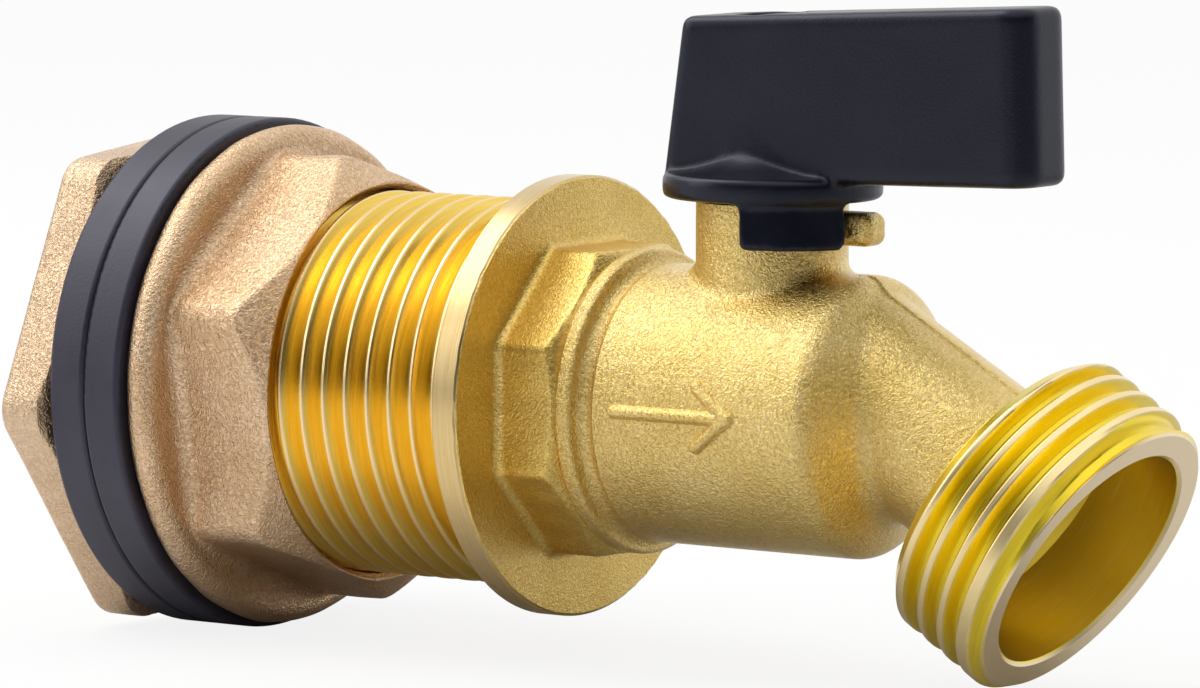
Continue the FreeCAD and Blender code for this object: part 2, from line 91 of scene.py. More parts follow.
# Nut
nut_back, nut_front, nut_bore_radius, nut_back_ring = 3.75, 16.15, 16.82, 19.0
nut_across_flats, nut_corner_round, nut_first_corner = 35.2, 2.4, math.radians(21.0)
nut_chamfer_length, nut_face_radius, nut_bore_chamfer, nut_edge_soft = 3.0, 17.5, 0.4, 0.09
flange_radius, flange_front, flange_front_round, flange_back_round = 22.0, 6.65, 1.5, 1.4
nut_root_round, nut_root_share = 1.5, 0.9

# Tailpiece
spigot_end, spigot_radius, spigot_lead_in = 20.45, 13.1, 1.0
collar_radius, collar_front, collar_edge_break, collar_ring = 18.85, 37.05, 0.25, 17.0
octagon_across_flats, octagon_corner_round, octagon_edge_soft = 26.0, 0.9, 0.10
octagon_front_chamfer, octagon_flat_chamfer, octagon_root_round = 0.9, 0.3, 0.8
joint_face, joint_thread_radius, tailpiece_nose, tailpiece_bore_radius = 42.85, 10.7, 47.35, 6.4

# Valve body
barrel_radius, stem_x, barrel_corner, barrel_end_slope = 11.85, 56.15, 66.65, math.radians(55.0)
spout_slant = math.radians(32.5)
elbow_x, spout_length, hose_start = 71.0, 19.47, 9.57
spout_root, spout_root_radius, spout_end_radius = -9.0, 7.0, 7.7
hose_radius, hose_rear_chamfer, hose_lead_in, hose_edge_soft = 13.5, 0.95, 0.85, 0.05
hose_pitch, hose_thread_depth, hose_crest, hose_root, hose_steps = 2.209, 1.15, 0.08, 0.20, 24
hose_first_crest, hose_last_crest, hose_groove_fade = 10.78, 17.3, 0.35
hose_run_out, hose_land, hose_land_lead, hose_land_fade = 0.62, 0.42, 0.2, 0.5
mouth_radius, mouth_depth, mouth_floor_cone, mouth_edge_break, mouth_ring = 10.4, 7.6, 3.0, 0.3, 3.0
spout_bore_radius = 5.2
cut_margin, bridge_length, bridge_step = 0.001, 0.04, 0.02
SPOUT = np.array([math.cos(spout_slant), 0.0, -math.sin(spout_slant)])
SPOUT_UP = np.array([math.sin(spout_slant), 0.0, math.cos(spout_slant)])
ELBOW = np.array([elbow_x, 0.0, 0.0])

# Flow arrow on the barrel's side, drawn flat before it is wrapped; points are along and across
arrow_half_length, arrow_half_width = 7.4, 3.6
arrow_tail, arrow_tip, arrow_barb = (-5.8, 0.0), (5.6, 0.0), (2.4, 2.5)
arrow_shift, arrow_angle = -2.2, math.radians(2.0)
arrow_sunk, arrow_rise, arrow_breadth, arrow_back = 0.30, 0.78, 0.62, 0.7
arrow_join, arrow_least = 0.08, 0.02

# Mould seam on the barrel's end and the spout
seam_start, seam_end_gap, seam_half_width = 9.0, 0.6, 0.8
seam_rows, seam_columns, seam_end_rows = 121, 13, 12
seam_rise, seam_flat, seam_edge, seam_sunk = 0.30, 0.52, 0.06, 0.16
seam_border, seam_back = -0.3, -0.5
seam_barrel_soft, seam_spout_soft = 0.35, 0.25

# Handle
hub_radius, hub_bottom, hub_top, hub_margin = 9.2, 17.9, 20.0, 0.1
tab_reach, tab_inside, tab_margin = 8.6, 7.9, 0.01
flare_height, flare_kept, flare_margin = 4.7, 0.5, 0.08
lever_root_width, lever_tip_width, lever_tip, lever_top = 8.4, 7.5, 26.4, 34.8
tip_stretch, tip_drop = 0.5, 0.3
handle_skin, handle_softening = 0.21, 16

# Casting unevenness: wavelength, height and seed
head_uneven, nut_uneven = (7.0, 0.12, 3), (6.0, 0.16, 5)
octagon_uneven, collar_wear = (4.0, 0.10, 9), (1.8, 0.5, 8)

AROUND = 256
TURN = np.linspace(0.0, 2.0 * np.pi, AROUND + 1)


# Shapes

def smooth_min(a, b, soft):
    """Smaller of two arrays, with the corner between them rounded by the log of their summed exponentials."""
    return np.minimum(a, b) - soft * np.log1p(np.exp(-np.abs(a - b) / soft))


def ease(share):
    """Smooth step: three times the square less twice the cube of a share from 0 to 1."""
    return share * share * (3.0 - 2.0 * share)


def arc(first, last, count):
    """Angles of a rounding's rows, first and last included."""
    return np.radians(np.linspace(first, last, count))


def wrench_outline(sides, across_flats, corner_round, first_corner):
    """Distance from the axis to a rounded polygon at every angle: on a flat, half the width over the cosine of
    the angle from the flat's middle; near a corner, the far crossing of the corner's circle."""
    half = math.pi / sides
    flat = across_flats / 2
    from_corner = (TURN - first_corner + half) % (2 * half) - half
    on_flat = flat / np.cos(half - np.abs(from_corner))
    centre = (flat - corner_round) / math.cos(half)
    inside = corner_round ** 2 - (centre * np.sin(from_corner)) ** 2
    on_round = centre * np.cos(from_corner) + np.sqrt(np.maximum(inside, 0.0))
    tangent = math.atan2(corner_round * math.sin(half), centre + corner_round * math.cos(half))
    return np.where(np.abs(from_corner) < tangent, on_round, on_flat)


def rings(*rows):
    """Surface turned about X: each row is a station and a distance from the axis, one number or one per
    angle."""
    x = np.stack([np.broadcast_to(row[0], TURN.shape) for row in rows])
    radius = np.stack([np.broadcast_to(row[1], TURN.shape) for row in rows])
    return np.stack([x, -radius * np.cos(TURN), radius * np.sin(TURN)], axis=-1)


def thread_groove(x, angle, start, pitch, crest, root):
    """0 on a thread's crest and 1 in its root: the distance from the crest within one pitch, held flat over
    the crest's and the root's shares of the pitch and half eased between them."""
    away = np.abs(((x - start) / pitch + angle / (2 * np.pi) + 0.5) % 1.0 - 0.5)
    flank = np.clip((away - crest / 2) / (0.5 - crest / 2 - root / 2), 0.0, 1.0)
    return 0.5 * flank + 0.5 * ease(flank)


def thread_steps(crest, root):
    """Places within one pitch where a thread's rows lie: close together round the crest and the root."""
    half = np.array([
        0.0, crest / 2, crest / 2 + 0.035, crest / 2 + 0.07,
        0.25, 0.43 - root / 2, 0.465 - root / 2, 0.5 - root / 2])
    return np.concatenate([half, [0.5], 1.0 - half[:0:-1]])


def even_steps(count):
    """Places within one pitch at even distances."""
    return np.linspace(0.0, 1.0, count, endpoint=False)


def spiral(start, end, first_crest, pitch, steps, radius):
    """Threaded surface about X: rows follow a right-hand helix, station = row - pitch * turns, held between
    the two ends; the distance from the axis is a function of station and angle."""
    first_turn = math.floor((start - first_crest) / pitch) - 1
    last_turn = math.ceil((end - first_crest) / pitch) + 1
    turns = np.arange(first_turn, last_turn + 1)
    rows = first_crest + pitch * (turns[:, None] + steps[None, :]).ravel()
    x = np.clip(rows[:, None] - pitch * TURN / (2 * np.pi), start, end)
    angle = np.broadcast_to(TURN, x.shape)
    distance = radius(x, angle)
    return np.stack([x, -distance * np.cos(angle), distance * np.sin(angle)], axis=-1)


def uneven(points, length, height, seed):
    """Casting unevenness: the mean of sine waves of about one wavelength in random directions, times a
    height."""
    draw = np.random.default_rng(seed)
    ways = draw.normal(size=(12, 3))
    ways *= 2 * np.pi / length * draw.uniform(0.7, 1.5, (12, 1)) / np.linalg.norm(ways, axis=1, keepdims=True)
    return height * np.sin(points @ ways.T + draw.uniform(0, 2 * np.pi, 12)).mean(axis=-1)


def roughcast(points, length, height, seed):
    """The same points moved towards the X axis by what the casting's unevenness lacks of its highest
    value."""
    away = points * [0.0, 1.0, 1.0]
    away = away / np.maximum(np.linalg.norm(away, axis=-1, keepdims=True), WELD)
    swell = uneven(points, length, height, seed)
    return points + away * (swell - swell.max())[..., None]


def on_spout(points):
    """Points drawn along X from the elbow, carried onto the slanted spout."""
    return ELBOW + points[..., 0:1] * SPOUT + points[..., 1:2] * [0.0, 1.0, 0.0] + points[..., 2:3] * SPOUT_UP


def stroke(along, across, start, end):
    """Distance of every point from a straight stroke between two points."""
    way = np.subtract(end, start)
    share = np.clip(((along - start[0]) * way[0] + (across - start[1]) * way[1]) / (way @ way), 0.0, 1.0)
    return np.hypot(along - start[0] - share * way[0], across - start[1] - share * way[1])


def two_sheets(lift, back):
    """Heights of a raised patch's upper and lower sheets: the lower one lies flat and joins the upper one at
    its border."""
    inner = np.zeros(lift.shape, bool)
    inner[1:-1, 1:-1] = True
    return lift, np.where(inner, back, lift)


def trimmed(grid):
    """A grid whose corner points lie on their neighbours, so that two sheets with one border share no
    triangle."""
    grid[[0, 0, -1, -1], [0, -1, 0, -1]] = grid[[0, 0, -1, -1], [1, -2, 1, -2]]
    return grid


# Meshes

def quads(grid, first):
    """Corner numbers of a grid's faces, for points numbered from a first one."""
    index = first + np.arange(grid.shape[0] * grid.shape[1]).reshape(grid.shape[:2])
    return np.stack([index[:-1, :-1], index[1:, :-1], index[1:, 1:], index[:-1, 1:]], axis=-1).reshape(-1, 4)


def raw_mesh(name, points, triangles, squares):
    """Mesh data from arrays of points in millimetres and of triangles' and squares' corner numbers."""
    mesh = bpy.data.meshes.new(name)
    corners = np.concatenate([triangles.ravel(), squares.ravel()]).astype(np.int32)
    starts = np.concatenate([np.arange(len(triangles)) * 3, triangles.size + np.arange(len(squares)) * 4])
    mesh.vertices.add(len(points))
    mesh.vertices.foreach_set("co", (points * MM).astype(np.float32).ravel())
    mesh.loops.add(len(corners))
    mesh.loops.foreach_set("vertex_index", corners)
    mesh.polygons.add(len(starts))
    mesh.polygons.foreach_set("loop_start", starts.astype(np.int32))
    mesh.update(calc_edges=True)
    return mesh


def solid_mesh(name):
    """Points in millimetres and triangles' corner numbers of a solid of the frame."""
    solid = nodes[name].data
    points = np.zeros(len(solid.vertices) * 3)
    solid.vertices.foreach_get("co", points)
    corners = np.zeros(len(solid.loops), np.int32)
    solid.loops.foreach_get("vertex_index", corners)
    return points.reshape(-1, 3) / MM, corners.reshape(-1, 3)


def boundary_loops(edit, split):
    """Open edges of an edited mesh, in two groups by their distance from the spout's axis."""
    near, far = [], []
    for edge in [edge for edge in edit.edges if edge.is_boundary]:
        middle = np.array((edge.verts[0].co + edge.verts[1].co) / 2) / MM - ELBOW
        away = np.linalg.norm(middle - SPOUT * (middle @ SPOUT))
        (far if away > split else near).append(edge)
    return near, far


def in_scene(name, mesh, finish):
    """Object of a mesh with one finish, put in the scene."""
    made = bpy.data.objects.new(name, mesh)
    bpy.context.scene.collection.objects.link(made)
    mesh.materials.append(finish)
    return made


def stand_in(made, body, node):
    """Lets a piece ride on a body, and stand for a node if one is named."""
    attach(made, body)
    if node:
        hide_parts(node)


def piece(name, grids, finish, body, node=None, base=None, sharp=32.0):
    """Piece of one or more grids, welded where their borders meet, riding on a body and standing for a node. A
    base is an array of points and triangles that the grids are bridged to along the spout's inner and outer
    circles. Edges that bend by more than the sharp angle, in degrees, show as sharp."""
    points, triangles = base if base else (np.zeros((0, 3)), np.zeros((0, 3), int))
    squares = []
    for grid in grids:
        squares.append(quads(grid, len(points)))
        points = np.concatenate([points, grid.reshape(-1, 3)])
    mesh = raw_mesh(name, points, triangles, np.concatenate(squares))
    edit = bmesh.new()
    edit.from_mesh(mesh)
    bmesh.ops.remove_doubles(edit, verts=edit.verts, dist=WELD)
    bmesh.ops.dissolve_degenerate(edit, edges=edit.edges, dist=SLIVER)
    if base:
        for loop in boundary_loops(edit, (spout_bore_radius + hose_radius) / 2):
            bmesh.ops.bridge_loops(edit, edges=loop)
    bmesh.ops.recalc_face_normals(edit, faces=edit.faces)
    if edit.calc_volume(signed=True) < 0:
        bmesh.ops.reverse_faces(edit, faces=edit.faces)
    edit.to_mesh(mesh)
    edit.free()
    mesh.polygons.foreach_set("use_smooth", np.ones(len(mesh.polygons), bool))
    mesh.set_sharp_from_angle(angle=math.radians(sharp))
    stand_in(in_scene(name, mesh, finish), body, node)


# Finishes

class Value:
    """A shader socket that takes part in Python sums; every operation adds a Math node."""

    def __init__(self, finish, socket):
        self.finish = finish
        self.socket = socket

    def math(self, operation, *others):
        return self.finish.node("ShaderNodeMath", {"operation": operation}, dict(enumerate((self,) + others)))

    def __add__(self, other):
        return self.math("ADD", other)

    def __sub__(self, other):
        return self.math("SUBTRACT", other)

    def __rsub__(self, other):
        return self.math("MULTIPLY", -1.0) + other

    def __mul__(self, other):
        return self.math("MULTIPLY", other)

    def __truediv__(self, other):
        return self.math("DIVIDE", other)

    __radd__ = __add__
    __rmul__ = __mul__

    def rise(self, low, high):
        """Smooth step from 0 at low to 1 at high."""
        span = {"Value": self, "From Min": low, "From Max": high}
        return self.finish.node("ShaderNodeMapRange", {"interpolation_type": "SMOOTHSTEP"}, span)


class Finish:
    """A node tree being written, for a material or the world."""

    def __init__(self, owner):
        self.owner = owner
        owner.use_nodes = True
        self.tree = owner.node_tree
        self.tree.nodes.clear()

    def node(self, kind, settings=None, sockets=None, out=0):
        """Adds a node of a type, sets its settings, then the values or links of its sockets; gives one
        output."""
        made = self.tree.nodes.new(kind)
        for key, value in (settings or {}).items():
            if key == "stops":
                for _ in value[2:]:
                    made.color_ramp.elements.new(0.5)
                for element, (place, colour) in zip(made.color_ramp.elements, value):
                    element.position = place
                    element.color = opaque(colour)
            else:
                setattr(made, key, value)
        for key, value in (sockets or {}).items():
            if isinstance(value, Value):
                self.tree.links.new(value.socket, made.inputs[key])
            else:
                made.inputs[key].default_value = value
        return Value(self, made.outputs[out]) if made.outputs else None

    def split(self, vector):
        """X, Y and Z of a vector."""
        return [self.node("ShaderNodeSeparateXYZ", None, {0: vector}, axis) for axis in "XYZ"]

    def joined(self, x, y, z):
        """Vector of three values."""
        return self.node("ShaderNodeCombineXYZ", None, {0: x, 1: y, 2: z})

    def place(self):
        """Object coordinates in millimetres."""
        spot = self.node("ShaderNodeTexCoord", out="Object")
        return self.node("ShaderNodeVectorMath", {"operation": "SCALE"}, {0: spot, "Scale": 1 / MM})

    def rays(self):
        """1 for rays that come straight from the camera or through glass, and 1 for reflected rays."""
        straight, through, reflected = [
            self.node("ShaderNodeLightPath", out=name)
            for name in ("Is Camera Ray", "Is Transmission Ray", "Is Glossy Ray")]
        return straight + through, reflected

    def noise(self, vector, size, detail=2.0, roughness=0.5, distortion=0.0):
        """Noise whose lumps are about one size across, in the units of its vector."""
        sockets = {"Vector": vector, "Scale": 1 / size, "Detail": detail, "Roughness": roughness,
                   "Distortion": distortion}
        return self.node("ShaderNodeTexNoise", None, sockets)

    def stretched(self, vector, x, y, z):
        """A vector with each axis scaled by its own factor."""
        return self.node("ShaderNodeVectorMath", {"operation": "MULTIPLY"}, {0: vector, 1: (x, y, z)})

    def ramp(self, value, *stops):
        """Colour read off a row of stops."""
        return self.node("ShaderNodeValToRGB", {"stops": stops}, {"Fac": value})

    def between(self, marks, dark, pale):
        """Colour between a dark and a pale one, by the middle range of a noise."""
        return self.ramp(marks, (0.3, dark), (0.7, pale))

    def blend(self, mask, first, second):
        """Mix of two colours by a mask."""
        pick = {0: mask, 6: first, 7: second}
        return self.node("ShaderNodeMix", {"data_type": "RGBA", "clamp_factor": True}, pick, 2)

    def bump(self, height, distance):
        """Normal bent by a height field whose full height is a distance in millimetres."""
        sockets = {"Height": height, "Distance": distance * MM, "Strength": 1.0}
        return self.node("ShaderNodeBump", None, sockets)

    def surface(self, **sockets):
        """Principled surface as the finish's output; underscores in socket names stand for spaces."""
        named = {key.replace("_", " "): value for key, value in sockets.items()}
        shader = self.node("ShaderNodeBsdfPrincipled", None, named)
        self.node("ShaderNodeOutputMaterial", None, {"Surface": shader})
        return self.owner


# Colours of cast brass: the grain's hollows, its middle and its tops
head_colours = (0.46, 0.30, 0.17), (0.66, 0.47, 0.30), (0.82, 0.64, 0.47)
nut_colours = (0.52, 0.33, 0.17), (0.73, 0.50, 0.30), (0.91, 0.71, 0.52)
tailpiece_colours = (0.62, 0.39, 0.06), (0.82, 0.57, 0.14), (0.96, 0.75, 0.31)
casting_colours = (0.60, 0.39, 0.08), (0.83, 0.60, 0.19), (0.97, 0.78, 0.39)

# Colours of turned brass, with pale painted highlights for the crests of the threads
tube_gold, tube_crest_highlight_gold = ((0.89, 0.58, 0.09), (0.97, 0.70, 0.17)), (0.92, 0.70, 0.38)
collar_rim_gold = (0.64, 0.45, 0.17), (0.74, 0.56, 0.28)
hose_yellow, hose_crest_highlight_yellow = ((0.87, 0.64, 0.01), (0.94, 0.74, 0.04)), (0.92, 0.73, 0.36)
hose_face_colour = (0.94, 0.76, 0.48)
bore_colours = (0.35, (0.98, 0.75, 0.07)), (0.62, (1.0, 0.80, 0.14)), (0.68, (1.0, 0.92, 0.46))

# Grain's size and height, and the clear lacquer on the tap
coarse_grain, coarse_height = 0.36, 0.20
fine_grain, tailpiece_height, casting_height = 0.34, 0.11, 0.19
lacquer, lacquer_roughness = 0.5, 0.3


def opaque(colour):
    """Colour with full cover, as a colour socket wants it."""
    return (*colour, 1.0)


def mixed(share, first, second):
    """First value where a share is 0 and second where it is 1."""
    return first * (1 - share) + second * share


def turning_marks(finish, spot, along):
    """Fine lines left by a lathe: noise that is short along an axis and long around it."""
    return finish.noise(finish.stretched(spot, *along), 1.0, 3.0, 0.6)


def cast_brass(finish, spot, dark, middle, pale, grain):
    """Colour, roughness and height of sand-cast brass: wrinkled grain, fine specks and broad faint
    patches."""
    wrinkles = finish.noise(spot, grain, 2.0, 0.55, 1.2)
    specks = finish.noise(spot, grain * 0.35, 2.0, 0.5)
    patches = finish.noise(spot, 7.0, 3.0, 0.5)
    tone = wrinkles * 0.5 + specks * 0.25 + patches * 0.25
    colour = finish.ramp(tone, (0.30, dark), (0.50, middle), (0.70, pale))
    rough = 0.25 + (1 - tone) * 0.14
    height = wrinkles * 0.8 + specks * 0.2
    return colour, rough, height


def connector_finish():
    """Sand-cast head, bright thread cut on a lathe, with a pale highlight painted along the thread's crest."""
    finish = Finish(bpy.data.materials.new("connector_brass"))
    spot = finish.place()
    x, y, z = finish.split(spot)
    colour, rough, height = cast_brass(finish, spot, *head_colours, coarse_grain)
    away = (y * y + z * z).math("SQRT")
    cut = x.rise(head_front - 0.15, head_front + 0.15)
    marks = turning_marks(finish, spot, (9.0, 0.15, 0.15))
    # Painted highlight: the thread's crest is coloured pale.
    crest = away.rise(tube_radius - 0.14, tube_radius - 0.03)
    gold = finish.blend(crest, finish.between(marks, *tube_gold), opaque(tube_crest_highlight_gold))
    return finish.surface(
        Base_Color=finish.blend(cut, colour, gold),
        Metallic=1.0,
        Roughness=mixed(cut, rough, 0.20 + marks * 0.10),
        Normal=finish.bump(mixed(cut, height, marks * 0.05), coarse_height))


def nut_finish():
    """Sand-cast brass all over, a little pinker and duller than the tap."""
    finish = Finish(bpy.data.materials.new("nut_brass"))
    spot = finish.place()
    colour, rough, height = cast_brass(finish, spot, *nut_colours, coarse_grain)
    return finish.surface(
        Base_Color=colour, Metallic=1.0, Roughness=rough, Normal=finish.bump(height, coarse_height))


def tailpiece_finish():
    """Fine cast brass with a turned rim on the collar, under clear lacquer."""
    finish = Finish(bpy.data.materials.new("tailpiece_brass"))
    spot = finish.place()
    y, z = finish.split(spot)[1:]
    colour, rough, height = cast_brass(finish, spot, *tailpiece_colours, fine_grain)
    away = (y * y + z * z).math("SQRT")
    cut = away.rise(collar_radius - 0.2, collar_radius - 0.12)
    marks = turning_marks(finish, spot, (8.0, 0.15, 0.15))
    return finish.surface(
        Base_Color=finish.blend(cut, colour, finish.between(marks, *collar_rim_gold)),
        Metallic=1.0,
        Roughness=mixed(cut, rough, 0.24 + marks * 0.1),
        Coat_Weight=lacquer,
        Coat_Roughness=lacquer_roughness,
        Normal=finish.bump(mixed(cut, height, marks * 0.08), tailpiece_height))


def casting_finish():
    """Fine cast brass, with a turned hose thread and a bored mouth, under clear lacquer; a pale highlight is
    painted along the hose thread's crest.
    """
    finish = Finish(bpy.data.materials.new("body_brass"))
    spot = finish.place()
    x, y, z = finish.split(spot)
    colour, rough, height = cast_brass(finish, spot, *casting_colours, fine_grain)
    along = (x - elbow_x) * SPOUT[0] + z * SPOUT[2]
    up = (x - elbow_x) * SPOUT_UP[0] + z * SPOUT_UP[2]
    away = (up * up + y * y).math("SQRT")
    outside = away.rise(spout_end_radius, spout_end_radius + 3.0)
    cut = along.rise(hose_start - 0.15, hose_start + 0.1) * outside
    cut = cut.math("MAXIMUM", along.rise(hose_start + 1.0, hose_start + 1.2))
    marks = finish.noise(finish.joined(along * 8.0, up * 0.2, y * 0.2), 1.0, 3.0, 0.6)
    # Painted highlight: the hose thread's crest is coloured pale, and noise makes its edge uneven.
    crest_highlight_noise = finish.noise(spot, 0.6, 3.0, 0.6)
    crest = (away + crest_highlight_noise * 0.12).rise(hose_radius - 0.22, hose_radius + 0.02)
    turned = finish.blend(crest, finish.between(marks, *hose_yellow), opaque(hose_crest_highlight_yellow))
    face = along.rise(spout_length - 0.35, spout_length - 0.1)
    turned = finish.blend(face, turned, opaque(hose_face_colour))
    bored = (1 - away.rise(mouth_radius + 0.02, mouth_radius + 0.2)) * (1 - face)
    lines = finish.noise(finish.joined(along * 4.0, up * 0.1, y * 0.1), 1.0)
    turned = finish.blend(bored, turned, finish.ramp(marks * 0.5 + lines * 0.5, *bore_colours))
    return finish.surface(
        Base_Color=finish.blend(cut, colour, turned),
        Metallic=1.0,
        Roughness=mixed(cut, rough, 0.26 + marks * 0.14),
        Coat_Weight=lacquer,
        Coat_Roughness=lacquer_roughness,
        Normal=finish.bump(mixed(cut, height, marks * 0.08), casting_height))


def rubber_finish():
    """Moulded rubber: satin, with faint bloom and fine mould texture."""
    finish = Finish(bpy.data.materials.new("washer_rubber"))
    spot = finish.place()
    bloom = finish.noise(spot, 4.0, 4.0, 0.6)
    fine = finish.noise(spot, 0.25, 2.0, 0.6)
    return finish.surface(
        Base_Color=finish.ramp(bloom, (0.35, (0.012, 0.011, 0.021)), (0.7, (0.023, 0.022, 0.038))),
        Roughness=0.36 + bloom * 0.2,
        Specular_IOR_Level=0.70,
        Specular_Tint=opaque((0.88, 0.86, 1.0)),
        Normal=finish.bump(fine, 0.02))


def handle_finish():
    """Moulded black plastic: satin, faintly mottled, with a fine spark-eroded texture."""
    finish = Finish(bpy.data.materials.new("handle_plastic"))
    spot = finish.place()
    flow = finish.noise(finish.stretched(spot, 0.5, 1.0, 1.0), 5.0, 3.0, 0.55, 0.5)
    fine = finish.noise(spot, 0.2, 2.0, 0.5)
    return finish.surface(
        Base_Color=finish.between(flow, (0.002, 0.003, 0.008), (0.005, 0.006, 0.013)),
        Roughness=0.24 + flow * 0.12,
        Specular_IOR_Level=0.38,
        Specular_Tint=opaque((0.80, 0.82, 1.0)),
        Normal=finish.bump(fine, 0.015))


def turned_finish(name, dark, pale, rough, metallic):
    """Small turned pieces: rings of fine tool marks round the stem's axis."""
    finish = Finish(bpy.data.materials.new(name))
    spot = finish.place()
    marks = turning_marks(finish, spot, (0.4, 0.4, 9.0))
    return finish.surface(
        Base_Color=finish.between(marks, dark, pale),
        Metallic=metallic,
        Roughness=rough * 0.8 + marks * rough * 0.4,
        Normal=finish.bump(marks, 0.01))


# Connector, nut and tailpiece

def tube_distance(x, angle):
    """Thread on the tube: the crest's radius less the groove, faded in at the head and cut by the lead-in
    cone."""
    depth = tube_thread_depth * np.clip((x - head_front) / thread_fade, 0.0, 1.0)
    groove = thread_groove(x, angle, tube_first_crest, tube_pitch, tube_crest, tube_root)
    return np.minimum(tube_radius - depth * groove, tube_radius - tube_lead_in + (tube_end - x))


def inlet_distance(x, angle):
    """Thread in the inlet: the wall's radius plus the groove, faded out at the floor, and the lead-in
    cone."""
    depth = inlet_thread_depth * np.clip((inlet_floor - x) / thread_fade, 0.0, 1.0)
    groove = thread_groove(x, angle, head_back, inlet_pitch, inlet_crest, inlet_crest)
    return np.maximum(inlet_radius + depth * groove, inlet_radius + inlet_lead_in - (x - head_back))


def head_outline(inset):
    """Hex head's outline, moved inwards."""
    return wrench_outline(6, head_across_flats - 2 * inset, head_corner_round - inset, head_first_corner)


def make_connector(finish):
    """Hex head with rounded rear edges, threaded tube and stepped bore."""
    reach = head_across_flats / math.sqrt(3)
    flat = head_across_flats / 2
    inlet_edge = inlet_distance(np.full(TURN.shape, head_back), TURN)
    rows = [(head_back, inlet_edge), (head_back, head_back_ring), (head_back, head_outline(head_back_inset))]
    rows += [(head_back + head_rear_round * (1 - math.cos(t)),
              head_outline(head_rear_round * (1 - math.sin(t)))) for t in arc(0, 90, 7)]
    for x in np.linspace(head_back + head_rear_round, head_front, 24)[1:]:
        cone = flat + (head_front - x) / head_front_chamfer * (reach - flat)
        rows.append((x, smooth_min(head_outline(0.0), cone, head_edge_soft)))
    rows += [(head_front, head_front_ring), (head_front, tube_radius)]
    head = roughcast(rings(*rows), *head_uneven)
    head[0] = rings(rows[0])[0]
    head[-1] = rings(rows[-1])[0]
    tube_steps = thread_steps(tube_crest, tube_root)
    tube = spiral(head_front, tube_end, tube_first_crest, tube_pitch, tube_steps, tube_distance)
    tube_edge = tube_distance(np.full(TURN.shape, tube_end), TURN)
    inside = rings(
        (tube_end, tube_edge), (tube_end, socket_radius), (socket_floor, socket_radius),
        (socket_floor, tube_bore_radius), (inlet_floor + inlet_radius - tube_bore_radius, tube_bore_radius),
        (inlet_floor, inlet_radius))
    inlet = spiral(head_back, inlet_floor, head_back, inlet_pitch, even_steps(inlet_steps), inlet_distance)
    piece("connector", [head, tube, inside, inlet], finish, "tap", "bulkhead_body")


def make_nut(finish):
    """Flanged nut: round rim, cove at the hexagon's root, hexagon with its front corners turned to a cone."""
    hexagon = wrench_outline(6, nut_across_flats, nut_corner_round, nut_first_corner)
    reach = nut_across_flats / math.sqrt(3)
    back_r = flange_radius - flange_back_round
    front_r = flange_radius - flange_front_round
    rim_x = flange_front - flange_front_round
    rows = [(nut_back, nut_bore_radius), (nut_back, nut_back_ring)]
    rows += [(rim_x - flange_back_round * math.cos(t), back_r + flange_back_round * math.sin(t))
             for t in arc(0, 90, 8)]
    rows += [(rim_x + flange_front_round * math.sin(t), front_r + flange_front_round * math.cos(t))
             for t in arc(0, 90, 9)[1:]]
    cove = np.minimum(nut_root_round, nut_root_share * (front_r - hexagon))
    rows += [(flange_front + cove * (1 - math.cos(t)), hexagon + cove * (1 - math.sin(t)))
             for t in arc(0, 90, 8)]
    for share in np.concatenate([np.linspace(0.1, 0.6, 6), np.linspace(0.63, 1.0, 26)]):
        x = (1 - share) * (flange_front + cove) + share * nut_front
        cone = nut_face_radius + (nut_front - x) / nut_chamfer_length * (reach - nut_face_radius)
        rows.append((x, smooth_min(hexagon, cone, nut_edge_soft)))
    body = roughcast(rings(*rows), *nut_uneven)
    body[0] = rings(rows[0])[0]
    lip = nut_bore_radius + nut_bore_chamfer
    bore = rings(
        (nut_front, lip), (nut_front - nut_bore_chamfer, nut_bore_radius), (nut_back, nut_bore_radius))
    front = np.stack([body[-1], bore[0]])
    piece("nut", [body, front, bore], finish, "nut", "clamp_nut")


def make_tailpiece(finish):
    """Spigot, turned collar, octagon with a cove at its root and the thread into the valve body."""
    octagon = wrench_outline(8, octagon_across_flats, octagon_corner_round, math.pi / 8)
    flat = octagon_across_flats / 2
    reach = flat / math.cos(math.pi / 8)
    rim = collar_radius - collar_edge_break
    worn = collar_edge_break * (1.0 + uneven(rings((0.0, collar_radius))[0], *collar_wear))
    back = rings(
        (spigot_end, tailpiece_bore_radius), (spigot_end, spigot_radius - spigot_lead_in),
        (spigot_end + spigot_lead_in, spigot_radius), (tube_end, spigot_radius), (tube_end, rim),
        (tube_end + collar_edge_break, collar_radius), (collar_front - worn, collar_radius))
    rows = [(collar_front - worn, collar_radius), (collar_front, collar_radius - worn),
            (collar_front, collar_ring)]
    rows += [(collar_front + octagon_root_round * (1 - math.cos(t)),
              octagon + octagon_root_round * (1 - math.sin(t))) for t in arc(0, 90, 7)]
    slope = (reach - flat + octagon_flat_chamfer) / octagon_front_chamfer
    for x in np.linspace(collar_front + octagon_root_round, joint_face, 22)[1:]:
        cone = flat - octagon_flat_chamfer + (joint_face - x) * slope
        rows.append((x, smooth_min(octagon, cone, octagon_edge_soft)))
    front = rings(*rows)
    front[2:] = roughcast(front[2:], *octagon_uneven)
    nose = rings(
        (joint_face, joint_thread_radius), (tailpiece_nose, joint_thread_radius),
        (tailpiece_nose, tailpiece_bore_radius), (spigot_end, tailpiece_bore_radius))
    step = np.stack([front[-1], nose[0]])
    piece("tailpiece", [back, front, step, nose], finish, "tap", "inlet_tailpiece")


# Valve body

